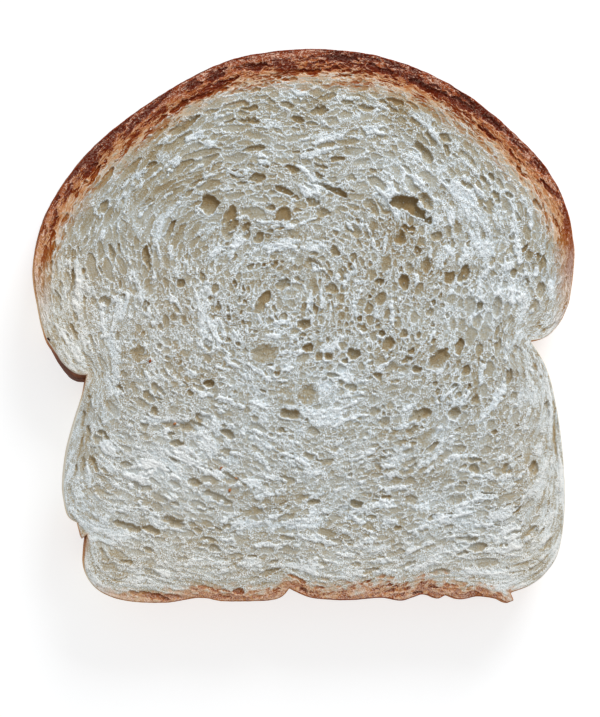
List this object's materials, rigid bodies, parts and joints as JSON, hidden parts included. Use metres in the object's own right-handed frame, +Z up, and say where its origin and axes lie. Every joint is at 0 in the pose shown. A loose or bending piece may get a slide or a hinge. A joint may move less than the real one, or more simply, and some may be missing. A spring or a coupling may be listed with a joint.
{
  "type": "tin loaf slice",
  "caption": "Slice of a white tin loaf lying on its cut face: a crown wider than the body, pinched over the tin's rim, with open crumb on both faces and a thin browned crust.",
  "frame": {"origin": "under the middle of the slice, on the surface that it lies on", "axes": "+X to the right of the upper cut face, +Y from the tin's base towards the crown, +Z up through the thickness of the slice"},
  "size_m": [0.1208, 0.1234, 0.014],
  "materials": {
    "crumb": "matte, open, torn white bread crumb",
    "crust": "satin, browned bread crust"
  },
  "bodies": {
    "root": {"bread_slice": "crumb"}
  },
  "joints": []
}
